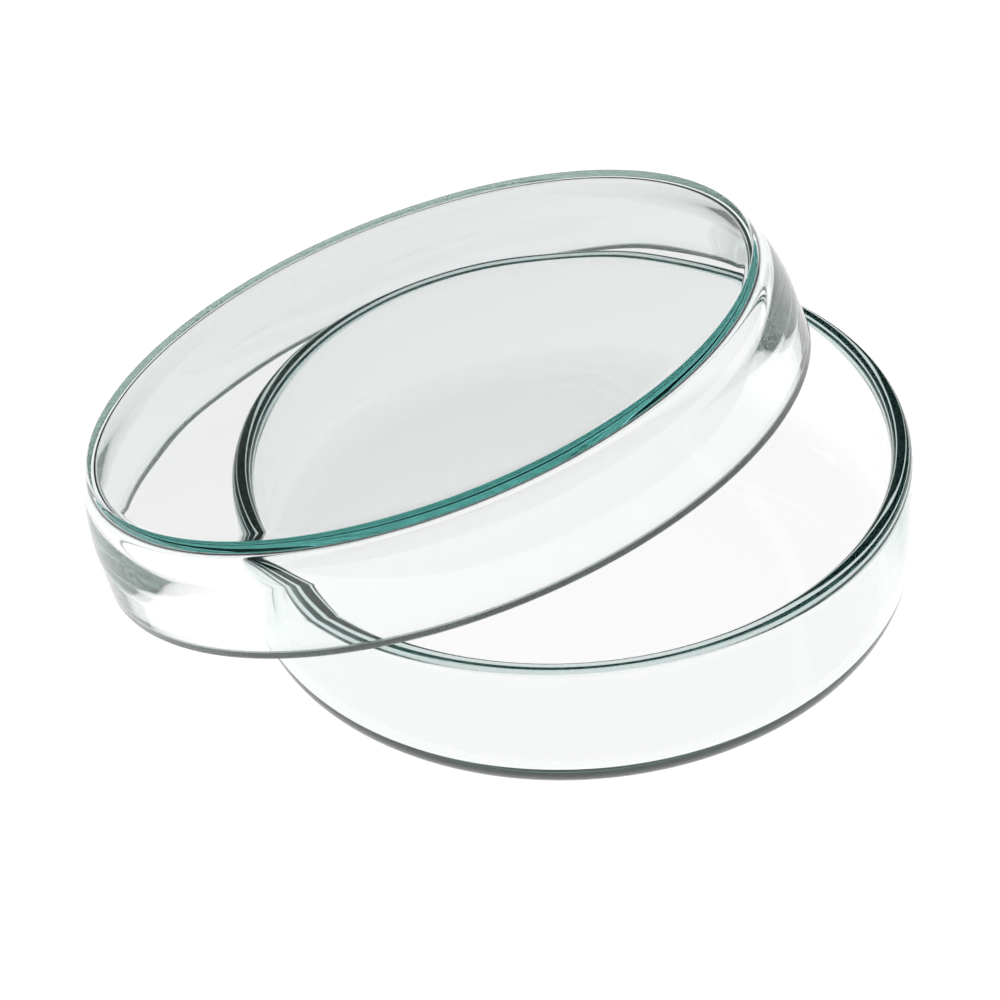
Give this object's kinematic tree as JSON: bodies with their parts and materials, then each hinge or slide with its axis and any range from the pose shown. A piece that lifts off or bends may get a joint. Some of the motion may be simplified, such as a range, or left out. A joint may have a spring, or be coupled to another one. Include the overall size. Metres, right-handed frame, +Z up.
{
  "type": "petri dish",
  "caption": "Round shallow clear glass petri dish with a wider glass lid leaning half open on its rim.",
  "frame": {"origin": "centre of the dish's flat base, on the table", "axes": "+Z up along the dish's axis; the lid is raised towards +X and -Y and low towards -X and +Y"},
  "size_m": [0.0659, 0.0633, 0.0263],
  "materials": {
    "dish_glass": "clear glass, fire polished, slightly green where it is seen through a long path",
    "lid_glass": "clear glass, polished, with a finely ground rim"
  },
  "bodies": {
    "dish": {"dish": "dish_glass"},
    "lid": {"lid": "lid_glass"}
  },
  "joints": [
    {"name": "lid_lift", "type": "slide", "parent": "dish", "child": "lid", "axis": [0, 0, 1], "range_m": [0, 0.025]}
  ]
}
